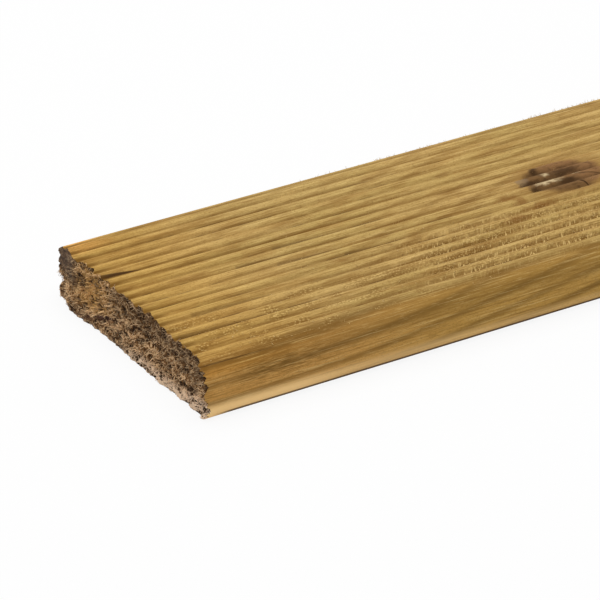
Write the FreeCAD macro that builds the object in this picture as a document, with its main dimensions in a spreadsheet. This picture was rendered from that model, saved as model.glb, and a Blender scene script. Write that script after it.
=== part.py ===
"""Ribbed softwood decking board: one plank with a reeded walking face, moulded from end to end.

The board lies flat on its smooth face. X runs along the board, Y across it and Z up, in millimetres.
The origin is the centre of the underside.
"""

import FreeCAD
import Part

import math
import os
from enum import IntEnum

import Sketcher

# Driving dimensions in millimetres, one cell of the document's sheet for each
SIZES = {
    "board_length": 1800.0,
    "board_width": 145.0,
    "board_thickness": 28.0,
    # Rounded long edges
    "top_arris_radius": 7.0,
    "bottom_arris_radius": 5.0,
    # Reeding of the walking face: round-bottomed grooves between round-shouldered ribs
    "groove_pitch": 7.6,
    "groove_depth": 1.5,
    "groove_radius": 1.4,
    "crest_flat": 1.0,
}

SKETCH_NORMAL = FreeCAD.Vector(0, 0, 1)
QUARTER = math.pi / 2


class Spot(IntEnum):
    """A sketch's own numbers for the points of a segment."""

    START = 1
    END = 2
    CENTRE = 3


class Axis(IntEnum):
    """A sketch's own numbers for its two axes."""

    HORIZONTAL = -1
    VERTICAL = -2


def make_sheet(doc):
    """Puts the driving dimensions into a sheet, each under its own alias."""
    sheet = doc.addObject("Spreadsheet::Sheet", "Sizes")
    for row, (name, value) in enumerate(SIZES.items(), start=1):
        sheet.set(f"A{row}", name)
        sheet.set(f"B{row}", str(value))
        sheet.setAlias(f"B{row}", name)
    doc.recompute()
    return sheet


def groove_count(sheet):
    """Gives as many grooves as there is room for, the outermost ones beside the rounded edges."""
    room = sheet.board_width - 2 * sheet.top_arris_radius
    return math.floor(room / sheet.groove_pitch) + 1


class SectionSketch:
    """A closed run of lines and arcs across the board, each tangent to the next."""

    def __init__(self, body):
        self.sketch = body.newObject("Sketcher::SketchObject", "section")
        across = next(plane for plane in body.Origin.OriginFeatures if plane.Role == "YZ_Plane")
        self.sketch.AttachmentSupport = (across, [""])
        self.sketch.MapMode = "FlatFace"
        self.run = []
        self.rules = []
        self.sizes = []

    def add(self, geometry, enter, leave):
        """Adds the next segment of the run, which comes in at one of its ends and goes out at the other."""
        index = self.sketch.addGeometry(geometry, False)
        self.run.append((index, enter, leave))
        return index

    def line(self, x0, y0, x1, y1):
        """Adds a straight stretch from its first point to its second."""
        segment = Part.LineSegment(FreeCAD.Vector(x0, y0), FreeCAD.Vector(x1, y1))
        return self.add(segment, Spot.START, Spot.END)

    def round_out(self, x, y, radius, from_angle, to_angle):
        """Adds a round edge or shoulder, which the run follows anticlockwise."""
        circle = Part.Circle(FreeCAD.Vector(x, y), SKETCH_NORMAL, radius)
        return self.add(Part.ArcOfCircle(circle, from_angle, to_angle), Spot.START, Spot.END)

    def round_in(self, x, y, radius, from_angle, to_angle):
        """Adds a round hollow, which the run follows clockwise."""
        circle = Part.Circle(FreeCAD.Vector(x, y), SKETCH_NORMAL, radius)
        return self.add(Part.ArcOfCircle(circle, from_angle, to_angle), Spot.END, Spot.START)

    def rule(self, *words):
        """Notes a constraint that has no size."""
        self.rules.append(Sketcher.Constraint(*words))

    def size(self, expression, *words):
        """Notes a dimension and the expression of the sheet's cells that drives it."""
        self.sizes.append((len(self.rules), expression))
        self.rules.append(Sketcher.Constraint(*words))

    def close(self):
        """Joins the run into a smooth loop and hands every constraint to the sketch."""
        for (one, _, leave), (other, enter, _) in zip(self.run, self.run[1:] + self.run[:1]):
            self.rule("Tangent", one, leave, other, enter)
        self.sketch.addConstraint(self.rules)
        for index, expression in self.sizes:
            self.sketch.setExpression(f"Constraints[{index}]", expression)


def draw_section(body, sheet):
    """Draws the section: a smooth underside, rounded edges, and rib after rib across the top."""
    section = SectionSketch(body)
    half = sheet.board_width / 2
    top = sheet.board_thickness
    upper = sheet.top_arris_radius
    lower = sheet.bottom_arris_radius
    pitch = sheet.groove_pitch
    flat = sheet.crest_flat
    depth = sheet.groove_depth
    dip = sheet.groove_radius
    half_groove = (pitch - flat) / 2
    # A groove's hollow runs tangent into round shoulders, which end level with the crests.
    bend = (half_groove**2 + depth**2) / (2 * depth) - dip
    turn = 2 * math.atan(depth / half_groove)
    count = groove_count(sheet)
    outermost = (count - 1) / 2 * pitch
    # The outermost hollows run tangent into the top arrises, which lie a little lower than the crests.
    lean = math.asin((half - upper - outermost) / (upper + dip))
    arris_height = top - depth + dip - (upper + dip) * math.cos(lean)

    underside = section.line(-half + lower, 0, half - lower, 0)
    right_foot = section.round_out(half - lower, lower, lower, -QUARTER, 0)
    right_side = section.line(half, lower, half, arris_height)
    right_arris = section.round_out(half - upper, arris_height, upper, 0, QUARTER + lean)

    hollow_height = top - depth + dip
    hollows = [section.round_in(outermost, hollow_height, dip, -QUARTER - turn, -QUARTER + lean)]
    crests = []
    shoulders = []
    for number in range(1, count):
        middle = outermost - number * pitch
        rib_right = middle + pitch - half_groove
        rib_left = middle + half_groove
        shoulders.append(section.round_out(rib_right, top - bend, bend, QUARTER - turn, QUARTER))
        crests.append(section.line(rib_right, top, rib_left, top))
        shoulders.append(section.round_out(rib_left, top - bend, bend, QUARTER, QUARTER + turn))
        last_turn = lean if number == count - 1 else turn
        hollows.append(section.round_in(middle, hollow_height, dip, -QUARTER - last_turn, -QUARTER + turn))

    left_arris = section.round_out(-half + upper, arris_height, upper, QUARTER - lean, 2 * QUARTER)
    left_side = section.line(-half, arris_height, -half, lower)
    left_foot = section.round_out(-half + lower, lower, lower, 2 * QUARTER, 3 * QUARTER)

    # The outline: centred on the sketch's vertical axis, with its underside on the horizontal one
    section.rule("Symmetric", underside, Spot.START, underside, Spot.END, Axis.VERTICAL)
    section.rule("PointOnObject", underside, Spot.START, Axis.HORIZONTAL)
    section.rule("Vertical", right_side)
    section.rule("Vertical", left_side)
    section.size("Sizes.board_width", "DistanceX", left_side, Spot.END, right_side, Spot.START, 2 * half)
    section.size("Sizes.bottom_arris_radius", "Radius", right_foot, lower)
    section.rule("Equal", right_foot, left_foot)
    section.size("Sizes.top_arris_radius", "Radius", right_arris, upper)
    section.rule("Equal", right_arris, left_arris)

    # The crests: level with each other and all of one width
    section.size("Sizes.board_thickness", "DistanceY", underside, Spot.START, crests[0], Spot.START, top)
    section.rule("Horizontal", crests[0])
    for crest in crests[1:]:
        section.rule("Horizontal", crest)
        section.rule("Horizontal", crests[0], Spot.START, crest, Spot.START)
        section.rule("Equal", crests[0], crest)
    section.size("Sizes.crest_flat", "DistanceX", crests[0], Spot.END, crests[0], Spot.START, flat)

    # The grooves: all of one depth, hollow and shoulder, a pitch apart and centred on the board
    section.rule("Symmetric", hollows[0], Spot.CENTRE, hollows[-1], Spot.CENTRE, Axis.VERTICAL)
    section.size("Sizes.groove_pitch", "DistanceX", hollows[1], Spot.CENTRE, hollows[0], Spot.CENTRE, pitch)
    section.size("Sizes.groove_radius", "Radius", hollows[0], dip)
    section.size("Sizes.board_thickness - Sizes.groove_depth + Sizes.groove_radius",
                 "DistanceY", underside, Spot.START, hollows[0], Spot.CENTRE, top - depth + dip)
    for hollow in hollows[1:]:
        section.rule("Equal", hollows[0], hollow)
    for hollow in hollows[1:-1]:
        section.rule("Horizontal", hollows[0], Spot.CENTRE, hollow, Spot.CENTRE)
    for shoulder in shoulders[1:]:
        section.rule("Equal", shoulders[0], shoulder)
    section.close()
    return section.sketch


def make_board(doc, sheet):
    """Runs the section along the board's length, half to each side of the middle."""
    body = doc.addObject("PartDesign::Body", "board")
    body.Label = "board"
    section = draw_section(body, sheet)
    doc.recompute()
    plank = body.newObject("PartDesign::Pad", "plank")
    plank.Profile = section
    plank.Midplane = True
    plank.setExpression("Length", "Sizes.board_length")
    doc.recompute()
    return body


def check(doc, bodies):
    """Stops with a plain message where an object failed or a body isn't one sound solid."""
    for thing in doc.Objects:
        if {"Invalid", "Error"} & set(thing.State):
            raise RuntimeError(f"{thing.Label} failed: {thing.State}")
    for body in bodies:
        if body.Shape.isNull() or not body.Shape.isValid() or len(body.Shape.Solids) != 1:
            raise RuntimeError(f"{body.Label} isn't one sound solid")


def main():
    doc = FreeCAD.newDocument("decking_board")
    sheet = make_sheet(doc)
    board = make_board(doc, sheet)
    check(doc, [board])
    os.makedirs("parts", exist_ok=True)
    board.Shape.exportStep(f"parts/{board.Label}.step")
    box = board.Shape.BoundBox
    print(f"{board.Label}: {box.XLength:.1f} x {box.YLength:.1f} x {box.ZLength:.1f} mm,",
          f"{groove_count(sheet)} grooves, {board.Shape.Volume / 1e6:.3f} litres")


main()
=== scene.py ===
"""Looks of a ribbed softwood decking board: reeded face, torn saw end, knot, torn grain and studio.

Shapes and finishes are formulas of the place on the board: millimetres along from the torn end, across from
the middle line and up from the underside.
"""

import logging
import math
from dataclasses import dataclass
from enum import Enum
from typing import Any, NamedTuple, Sequence

import bpy
from mathutils import Matrix, Vector


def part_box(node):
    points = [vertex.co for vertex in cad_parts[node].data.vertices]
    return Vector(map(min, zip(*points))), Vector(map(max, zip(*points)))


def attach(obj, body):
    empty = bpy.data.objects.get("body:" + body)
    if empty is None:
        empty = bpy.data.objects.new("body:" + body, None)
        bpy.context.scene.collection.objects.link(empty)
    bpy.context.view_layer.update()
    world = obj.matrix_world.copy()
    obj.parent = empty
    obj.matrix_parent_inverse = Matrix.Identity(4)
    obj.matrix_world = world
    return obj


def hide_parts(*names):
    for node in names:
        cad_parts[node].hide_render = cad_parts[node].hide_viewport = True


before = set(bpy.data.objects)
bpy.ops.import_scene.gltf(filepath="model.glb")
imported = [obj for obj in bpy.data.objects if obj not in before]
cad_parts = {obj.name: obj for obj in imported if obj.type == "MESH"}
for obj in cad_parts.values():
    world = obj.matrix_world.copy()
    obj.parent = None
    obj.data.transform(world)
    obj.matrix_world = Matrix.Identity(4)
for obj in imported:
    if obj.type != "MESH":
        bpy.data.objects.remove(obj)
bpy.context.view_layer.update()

LOG = logging.getLogger("decking_board")
NODE = "board"
BODY = "root"
TORN_END = "torn_end"
MM = 0.001
CM = 0.01

Colour = tuple[float, float, float]


def srgb(red: int, green: int, blue: int) -> Colour:
    """Turns a colour of 0 to 255 for each channel into scene-linear values.

    Args:
        red: Red channel.
        green: Green channel.
        blue: Blue channel.

    Returns:
        The three linear channels.
    """
    def channel(value: int) -> float:
        """Undoes the display curve of one channel."""
        part = value / 255
        return part / 12.92 if part <= 0.04045 else ((part + 0.055) / 1.055) ** 2.4

    return channel(red), channel(green), channel(blue)


# Colours that more than one finish has
PALE_WOOD = srgb(226, 194, 128)
# Dark of the torn pits, and painted shade along the torn top edge
PIT_AND_SHADE = srgb(112, 76, 24)
CHECK = srgb(58, 34, 12)
GREY_CORNER = srgb(94, 80, 70)


class Wire:
    """One output of a node, with arithmetic that adds the nodes it needs."""

    def __init__(self, tree: "Tree", socket: bpy.types.NodeSocket) -> None:
        """Keeps the socket and the tree it is in."""
        self.tree = tree
        self.socket = socket

    def __add__(self, other: "Wire | float") -> "Wire":
        """Adds."""
        return self.tree.math("ADD", self, other)

    def __radd__(self, other: float) -> "Wire":
        """Adds from the left."""
        return self.tree.math("ADD", other, self)

    def __sub__(self, other: "Wire | float") -> "Wire":
        """Takes away."""
        return self.tree.math("SUBTRACT", self, other)

    def __rsub__(self, other: float) -> "Wire":
        """Takes away from the left."""
        return self.tree.math("SUBTRACT", other, self)

    def __mul__(self, other: "Wire | float") -> "Wire":
        """Multiplies."""
        return self.tree.math("MULTIPLY", self, other)

    def __truediv__(self, other: "Wire | float") -> "Wire":
        """Divides."""
        return self.tree.math("DIVIDE", self, other)

    def __neg__(self) -> "Wire":
        """Turns the sign."""
        return self.tree.math("MULTIPLY", self, -1.0)

    def __abs__(self) -> "Wire":
        """Drops the sign."""
        return self.tree.math("ABSOLUTE", self)

    def one(self, operation: str) -> "Wire":
        """Applies an operation that takes one value, such as SQRT, FLOOR, SIGN or ROUND."""
        return self.tree.math(operation, self)

    def least(self, other: "Wire | float") -> "Wire":
        """Gives the smaller of two values."""
        return self.tree.math("MINIMUM", self, other)

    def most(self, other: "Wire | float") -> "Wire":
        """Gives the larger of two values."""
        return self.tree.math("MAXIMUM", self, other)

    def squared(self) -> "Wire":
        """Multiplies the value by itself."""
        return self * self

    def bell(self, middle: float, reach: float) -> "Wire":
        """Gives a bell curve: 1 at the middle, falling off within the reach."""
        return self.tree.math("EXPONENT", -((self - middle) / reach).squared())

    def step(self, low: "Wire | float", high: "Wire | float", start: float = 0.0,
             end: float = 1.0) -> "Wire":
        """Eases from start to end as the value goes from low to high.

        Args:
            low: Value at which the ease starts.
            high: Value at which the ease ends.
            start: Result up to low.
            end: Result from high on.

        Returns:
            The eased value.
        """
        values = [self, low, high, start, end]
        return self.tree.call("ShaderNodeMapRange", values, interpolation_type="SMOOTHSTEP")


class Tree:
    """A node tree that is written as formulas, for a material, the world or Geometry Nodes."""

    def __init__(self, tree: bpy.types.NodeTree) -> None:
        """Keeps the tree and empties it."""
        self.tree = tree
        tree.nodes.clear()

    def node(self, kind: str, **settings: Any) -> bpy.types.Node:
        """Adds a node and sets its properties.

        Args:
            kind: The node's type.
            **settings: Its properties.

        Returns:
            The node.
        """
        made = self.tree.nodes.new(kind)
        for name, value in settings.items():
            setattr(made, name, value)
        return made

    def feed(self, socket: bpy.types.NodeSocket, value: Any) -> None:
        """Links a wire to a socket, or sets a plain value on it.

        Args:
            socket: The input to fill.
            value: A wire or a plain value.
        """
        if isinstance(value, Wire):
            self.tree.links.new(value.socket, socket)
        else:
            socket.default_value = value

    def call(self, kind: str, inputs: Sequence[Any] | dict[Any, Any], output: int | str = 0,
             **settings: Any) -> Wire:
        """Adds a node, fills its inputs and gives one of its outputs.

        Args:
            kind: The node's type.
            inputs: Values in the order of the inputs, or by the inputs' names or numbers.
            output: Number or name of the output.
            **settings: The node's properties.

        Returns:
            The output.
        """
        made = self.node(kind, **settings)
        pairs = inputs.items() if isinstance(inputs, dict) else enumerate(inputs)
        for key, value in pairs:
            self.feed(made.inputs[key], value)
        return Wire(self, made.outputs[output])

    def math(self, operation: str, *values: Wire | float) -> Wire:
        """Adds a Math node."""
        return self.call("ShaderNodeMath", values, operation=operation)

    def join(self, x: Wire | float, y: Wire | float, z: Wire | float) -> Wire:
        """Makes a vector of three values."""
        return self.call("ShaderNodeCombineXYZ", [x, y, z])

    def split(self, vector: Wire) -> tuple[Wire, Wire, Wire]:
        """Takes a vector apart.

        Args:
            vector: The vector.

        Returns:
            Its three values.
        """
        made = self.node("ShaderNodeSeparateXYZ")
        self.feed(made.inputs[0], vector)
        return Wire(self, made.outputs[0]), Wire(self, made.outputs[1]), Wire(self, made.outputs[2])

    def noise(self, x: Wire | float, y: Wire | float, z: Wire | float, layers: float = 2.0,
              roughness: float = 0.5) -> Wire:
        """Adds soft noise from 0 to 1 with a mean of a half.

        Args:
            x: First coordinate, in blotches.
            y: Second coordinate.
            z: Third coordinate.
            layers: Number of finer layers.
            roughness: Strength of the finer layers.

        Returns:
            The noise.
        """
        values = {"Vector": self.join(x, y, z), "Scale": 1.0, "Detail": layers, "Roughness": roughness}
        return self.call("ShaderNodeTexNoise", values)

    def chance(self, number: Wire) -> Wire:
        """Gives every whole number a chance value of its own, from 0 to 1."""
        return self.call("ShaderNodeTexWhiteNoise", {"W": number}, noise_dimensions="1D")

    def blend(self, factor: Wire | float, under: Wire | Colour, over: Wire | Colour,
              mode: str = "MIX") -> Wire:
        """Lays one colour over another.

        Args:
            factor: Share of the upper colour.
            under: The lower colour.
            over: The upper colour.
            mode: How they mix.

        Returns:
            The mixed colour.
        """
        made = self.node("ShaderNodeMix", data_type="RGBA", blend_type=mode)
        self.feed(made.inputs[0], factor)
        for socket, colour in ((made.inputs[6], under), (made.inputs[7], over)):
            self.feed(socket, colour if isinstance(colour, Wire) else (*colour, 1.0))
        return Wire(self, made.outputs[2])

    def surface(self, shader: Wire, outlet: str = "ShaderNodeOutputMaterial") -> None:
        """Ends the tree of a material or of the world.

        Args:
            shader: The finished shader.
            outlet: Type of the tree's last node.
        """
        self.feed(self.node(outlet).inputs["Surface"], shader)


def new_material(name: str) -> tuple[bpy.types.Material, Tree]:
    """Makes an empty material.

    Args:
        name: Name of the material.

    Returns:
        The material and its tree.
    """
    material = bpy.data.materials.new(name)
    material.use_nodes = True
    return material, Tree(material.node_tree)


class SocketKind(Enum):
    """The kinds of named input that a recipe can have."""

    FLOAT = "NodeSocketFloat"
    INTEGER = "NodeSocketInt"
    MATERIAL = "NodeSocketMaterial"
    OBJECT = "NodeSocketObject"


class Recipe:
    """A Geometry Nodes tree with named inputs, which is run once and leaves a plain mesh."""

    def __init__(self, name: str, seed: int) -> None:
        """Makes the empty tree.

        Args:
            name: Name of the tree and of the piece that it makes.
            seed: Fixes everything random in it.
        """
        self.name = name
        self.group = bpy.data.node_groups.new(name, "GeometryNodeTree")
        self.tree = Tree(self.group)
        self.group.interface.new_socket("Geometry", in_out="OUTPUT", socket_type="NodeSocketGeometry")
        self.inlet = self.tree.node("NodeGroupInput")
        self.outlet = self.tree.node("NodeGroupOutput")
        self.values: dict[str, Any] = {}
        self.draws = 0
        self.seed = self.input("Seed", seed, SocketKind.INTEGER)

    def input(self, name: str, value: Any, kind: SocketKind = SocketKind.FLOAT) -> Wire:
        """Adds a named input.

        Args:
            name: Name of the input.
            value: What the modifier sets it to.
            kind: What sort of value it takes.

        Returns:
            The input, ready to be used.
        """
        socket = self.group.interface.new_socket(name, in_out="INPUT", socket_type=kind.value)
        self.values[socket.identifier] = value
        return Wire(self.tree, self.inlet.outputs[name])

    def position(self) -> tuple[Wire, Wire, Wire]:
        """Gives the place of each point, taken apart."""
        return self.tree.split(self.tree.call("GeometryNodeInputPosition", []))

    def attribute(self, name: str) -> Wire:
        """Reads a number that is stored on the mesh."""
        return self.tree.call("GeometryNodeInputNamedAttribute", {"Name": name}, data_type="FLOAT")

    def store(self, geometry: Wire, name: str, value: Wire, domain: str) -> Wire:
        """Stores a number on the geometry.

        Args:
            geometry: The geometry.
            name: Name of the stored number.
            value: The number.
            domain: What each number belongs to, such as FACE or INSTANCE.

        Returns:
            The geometry with the number.
        """
        values = {"Geometry": geometry, "Name": name, "Value": value}
        return self.tree.call("GeometryNodeStoreNamedAttribute", values, domain=domain, data_type="FLOAT")

    def draw_seed(self) -> Wire:
        """Gives the seed of the next draw, which no other draw has."""
        self.draws += 1
        return self.seed + float(self.draws)

    def random(self, low: float, high: float) -> Wire:
        """Draws a number for each point, a new row of numbers at each call.

        Args:
            low: Least number.
            high: Greatest number.

        Returns:
            The number.
        """
        values = {2: low, 3: high, "Seed": self.draw_seed()}
        return self.tree.call("FunctionNodeRandomValue", values, output=1, data_type="FLOAT")

    def run(self, geometry: Wire) -> bpy.types.Object:
        """Ends the tree, evaluates it and turns the result into a plain mesh.

        Args:
            geometry: What the tree gives.

        Returns:
            The piece, at the origin and with no modifier left on it.
        """
        self.tree.feed(self.outlet.inputs["Geometry"], geometry)
        piece = bpy.data.objects.new(self.name, bpy.data.meshes.new(self.name))
        bpy.context.scene.collection.objects.link(piece)
        modifier = piece.modifiers.new(self.name, "NODES")
        modifier.node_group = self.group
        for identifier, value in self.values.items():
            modifier[identifier] = value
        graph = bpy.context.evaluated_depsgraph_get()
        mesh = bpy.data.meshes.new_from_object(piece.evaluated_get(graph), depsgraph=graph)
        mesh.name = self.name
        piece.modifiers.remove(modifier)
        piece.data = mesh
        return piece


class Place(NamedTuple):
    """Millimetres along from the torn end, across from the middle line and up from the underside."""

    along: Wire
    across: Wire
    up: Wire

    @property
    def tree(self) -> Tree:
        """The tree that the place is read in."""
        return self.along.tree


@dataclass(frozen=True)
class Section:
    """The board's moulded section, in metres, as the solid has it."""

    length: float
    width: float
    thickness: float
    top_arris: float = 7.0 * MM
    bottom_arris: float = 5.0 * MM
    pitch: float = 7.6 * MM
    depth: float = 1.5 * MM
    hollow: float = 1.4 * MM
    crest_flat: float = 1.0 * MM
    grooves: int = 18

    @classmethod
    def of_node(cls, node: str) -> "Section":
        """Takes the overall sizes from a node of the frame.

        Args:
            node: Name of the node.

        Returns:
            The section.
        """
        low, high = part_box(node)
        return cls(*(high - low))

    @property
    def half_groove(self) -> float:
        """Half the width of a groove between two crest flats."""
        return (self.pitch - self.crest_flat) / 2

    @property
    def shoulder(self) -> float:
        """Radius of the shoulder that runs tangent into a groove's hollow."""
        return (self.half_groove**2 + self.depth**2) / (2 * self.depth) - self.hollow

    @property
    def hollow_reach(self) -> float:
        """How far the hollow reaches from the middle of its groove."""
        return self.hollow * math.sin(2 * math.atan(self.depth / self.half_groove))

    @property
    def outermost(self) -> float:
        """How far the middle of an outermost groove lies from the board's middle line."""
        return (self.grooves - 1) / 2 * self.pitch

    @property
    def arris_middle(self) -> float:
        """How far the middle of a top arris lies from the board's middle line."""
        return self.width / 2 - self.top_arris

    @property
    def arris_lean(self) -> float:
        """Angle at which an outermost hollow runs tangent into the top arris beside it."""
        return math.asin((self.arris_middle - self.outermost) / (self.top_arris + self.hollow))

    @property
    def arris_start(self) -> float:
        """How far from the middle line the outermost hollows run into the top arrises."""
        return self.outermost + self.hollow * math.sin(self.arris_lean)

    @property
    def arris_top(self) -> float:
        """Height of the top arrises, a little lower than the crests."""
        drop = (self.top_arris + self.hollow) * math.cos(self.arris_lean)
        return self.thickness - self.depth + self.hollow - drop + self.top_arris

    @property
    def near_end(self) -> float:
        """Where the torn end lies along the board."""
        return -self.length / 2

    def place(self, x: Wire, y: Wire, z: Wire) -> Place:
        """Turns a place in the frame, in metres, into the board's own millimetres."""
        return Place((x - self.near_end) / MM, y / MM, z / MM)


class Reed(NamedTuple):
    """Where a point lies in the reeding: the groove's number, the way across it and its depth.

    The way across goes from -0.5 on one crest through 0 in the groove to 0.5 on the next crest, and the
    depth from 0 on the crests to 1 in the grooves.
    """

    number: Wire
    turn: Wire
    sunk: Wire


class Ease(NamedTuple):
    """A soft edge: the result goes from start to end as a value goes from low to high."""

    low: float
    high: float
    start: float = 0.0
    end: float = 1.0

    def of(self, value: Wire) -> Wire:
        """Gives the result at a value."""
        return value.step(*self)


class Bell(NamedTuple):
    """A soft bump: the result is 1 at the middle and falls off within the reach."""

    middle: float
    reach: float

    def of(self, value: Wire) -> Wire:
        """Gives the result at a value."""
        return value.bell(*self)


Curves = tuple[Ease | Bell, ...]


@dataclass(frozen=True)
class Region:
    """A part of the board with soft edges: curves along, across and up it, in millimetres."""

    along: Curves = ()
    across: Curves = ()
    up: Curves = ()

    def mask(self, place: Place) -> Wire:
        """Gives how far a point is in the region.

        Args:
            place: Where the surface is.

        Returns:
            The product of the curves: 0 outside, and 1 inside unless a curve ends with less.
        """
        pairs = zip(place, (self.along, self.across, self.up))
        shares = [curve.of(value) for value, curves in pairs for curve in curves]
        return math.prod(shares[1:], start=shares[0])

    def lay(self, place: Place, under: Wire, over: Colour) -> Wire:
        """Lays a colour over the wood in the region."""
        return place.tree.blend(self.mask(place), under, over)


ON_FACE = Region(up=(Ease(22.0, 25.0),))
ON_RIBS = Region(up=(Ease(24.5, 25.5),))


@dataclass(frozen=True)
class Blotches:
    """Soft noise from 0 to 1 with blotches of a length, a breadth and a height in millimetres.

    The height is the breadth where none is given. A flat pattern is one cut through the noise.
    """

    length: float
    breadth: float
    height: float | None = None
    layers: float = 2.0
    roughness: float = 0.5
    cut: float = 0.0

    def through(self, place: Place) -> Wire:
        """Runs the blotches through the wood, with their length along the board."""
        height = self.height or self.breadth
        return self.noise(place.along / self.length, place.across / self.breadth, place.up / height)

    def on_face(self, place: Place) -> Wire:
        """Lays the blotches on the walking face, with their length along the board."""
        return self.noise(place.along / self.length, place.across / self.breadth, self.cut)

    def on_end(self, place: Place, cut: Wire | None = None) -> Wire:
        """Lays the blotches on the torn end, with their length across the board."""
        return self.noise(place.across / self.length, place.up / self.breadth, cut or self.cut)

    def noise(self, x: Wire, y: Wire, z: Wire | float) -> Wire:
        """Makes the noise at three coordinates in blotches."""
        return x.tree.noise(x, y, z, self.layers, self.roughness)


@dataclass(frozen=True)
class RowNoise:
    """Soft noise from 0 to 1 along the reeding, in which each groove has a row of its own.

    Its blotches have a length in millimetres. The row moves on by a stride from groove to groove, and by a
    turn across each of them.
    """

    length: float
    stride: float
    turn: float = 0.0
    layers: float = 2.0
    roughness: float = 0.5
    cut: float = 0.0

    def at(self, along: Wire, reed: Reed, cut: Wire | None = None) -> Wire:
        """Gives the noise at a place along the board and in the reeding."""
        row = reed.number * self.stride + reed.turn * self.turn
        return along.tree.noise(along / self.length, row, cut or self.cut, self.layers, self.roughness)


@dataclass(frozen=True)
class Scratch:
    """A thin dark check or streak in the walking face, in millimetres along and across."""

    start: tuple[float, float]
    end: tuple[float, float]
    width: float
    strength: float
    tip: float = 0.15
    edge: Ease = Ease(1.0, 0.3)

    def mask(self, place: Place) -> Wire:
        """Draws the check, which tapers towards its end.

        Args:
            place: Where the surface is.

        Returns:
            How strongly the check shows.
        """
        (x0, y0), (x1, y1) = self.start, self.end
        run = (x1 - x0) ** 2 + (y1 - y0) ** 2
        x, y = place.along - x0, place.across - y0
        share = ((x * (x1 - x0) + y * (y1 - y0)) / run).most(0.0).least(1.0)
        away = ((x - share * (x1 - x0)).squared() + (y - share * (y1 - y0)).squared()).one("SQRT")
        half = (1.0 + self.tip - share) * self.width
        return self.edge.of(away / half) * self.strength * ON_FACE.mask(place)


@dataclass(frozen=True)
class Patch:
    """A round patch in the walking face, in millimetres along and across."""

    along: float
    across: float
    half_length: float
    half_width: float

    def away(self, place: Place) -> Wire:
        """Measures how far a point is from the patch's middle.

        Args:
            place: Where the surface is.

        Returns:
            The distance, where 1 is the patch's edge.
        """
        x = (place.along - self.along) / self.half_length
        y = (place.across - self.across) / self.half_width
        return (x.squared() + y.squared()).one("SQRT")


@dataclass(frozen=True)
class Spots:
    """Patches of one colour, all with the same soft and ragged edge."""

    colour: Colour
    edge: Ease
    ragged: float
    patches: tuple[Patch, ...]

    def lay(self, place: Place, ragged: Wire, share: Wire, colour: Wire) -> Wire:
        """Lays the patches over the wood.

        Args:
            place: Where the surface is.
            ragged: Noise about 0, which makes the edges ragged.
            share: How strongly the patches show.
            colour: The wood's colour.

        Returns:
            The colour with the patches in it.
        """
        for patch in self.patches:
            shown = self.edge.of(patch.away(place) + ragged * self.ragged) * share
            colour = place.tree.blend(shown, colour, self.colour)
        return colour


@dataclass(frozen=True)
class GrowthRings:
    """The growth rings as tilted layers that rise towards the knot, in millimetres.

    A ring is where height + tilt * across - lift(along) has one value.
    """

    tilt: float = 0.381
    lift: float = 24.0
    lift_curve: Bell = Bell(271.0, 127.6)
    first_above: float = 1.0
    first_below: float = -1.0
    spacing_above: float = 5.54
    spacing_below: float = 9.0
    wander: float = 3.2
    bends: Blotches = Blotches(70.0, 20.0)
    darkening: Ease = Ease(-0.34, 0.0)
    paling: Ease = Ease(0.26, 0.06)
    weakest: float = 0.5

    def phase(self, place: Place) -> Wire:
        """Counts growth rings: a whole number is a line of latewood.

        Args:
            place: Where the surface is.

        Returns:
            The count.
        """
        wander = (self.bends.through(place) - 0.5) * self.wander
        lift = self.lift_curve.of(place.along) * self.lift
        layer = place.up + place.across * self.tilt - lift + wander
        above = (layer - self.first_above).most(0.0) / self.spacing_above
        return above + (layer - self.first_below).least(0.0) / self.spacing_below

    def latewood(self, place: Place) -> Wire:
        """Darkens each ring softly towards its latewood line.

        Args:
            place: Where the surface is.

        Returns:
            The share of latewood, with some rings stronger than others.
        """
        phase = self.phase(place)
        ring = (phase + 0.5).one("FLOOR")
        off = phase - ring
        strength = self.weakest + place.tree.chance(ring) * (1.0 - self.weakest)
        return self.darkening.of(off) * self.paling.of(off) * strength


@dataclass(frozen=True)
class Softwood:
    """What all the wood finishes share: the board's own millimetres, its rings and its dull shine."""

    section: Section
    rings: GrowthRings = GrowthRings()
    shine: float = 0.06

    def start(self, name: str) -> tuple[bpy.types.Material, Place]:
        """Makes an empty material and reads the place of each point.

        Args:
            name: Name of the material.

        Returns:
            The material and the place.
        """
        material, tree = new_material(name)
        x, y, z = tree.split(tree.call("ShaderNodeTexCoord", [], output="Object"))
        return material, self.section.place(x, y, z)

    def finish(self, colour: Wire, roughness: Wire | float, height: Wire, depth: float) -> None:
        """Ends a wood material.

        Args:
            colour: Base colour.
            roughness: Roughness.
            height: Relief from 0 to 1.
            depth: Depth of the relief in metres.
        """
        tree = colour.tree
        bump = tree.call("ShaderNodeBump", {"Strength": 1.0, "Distance": depth, "Height": height})
        values = {"Base Color": colour, "Roughness": roughness, "Specular IOR Level": self.shine,
                  "Normal": bump}
        tree.surface(tree.call("ShaderNodeBsdfPrincipled", values))


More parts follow.
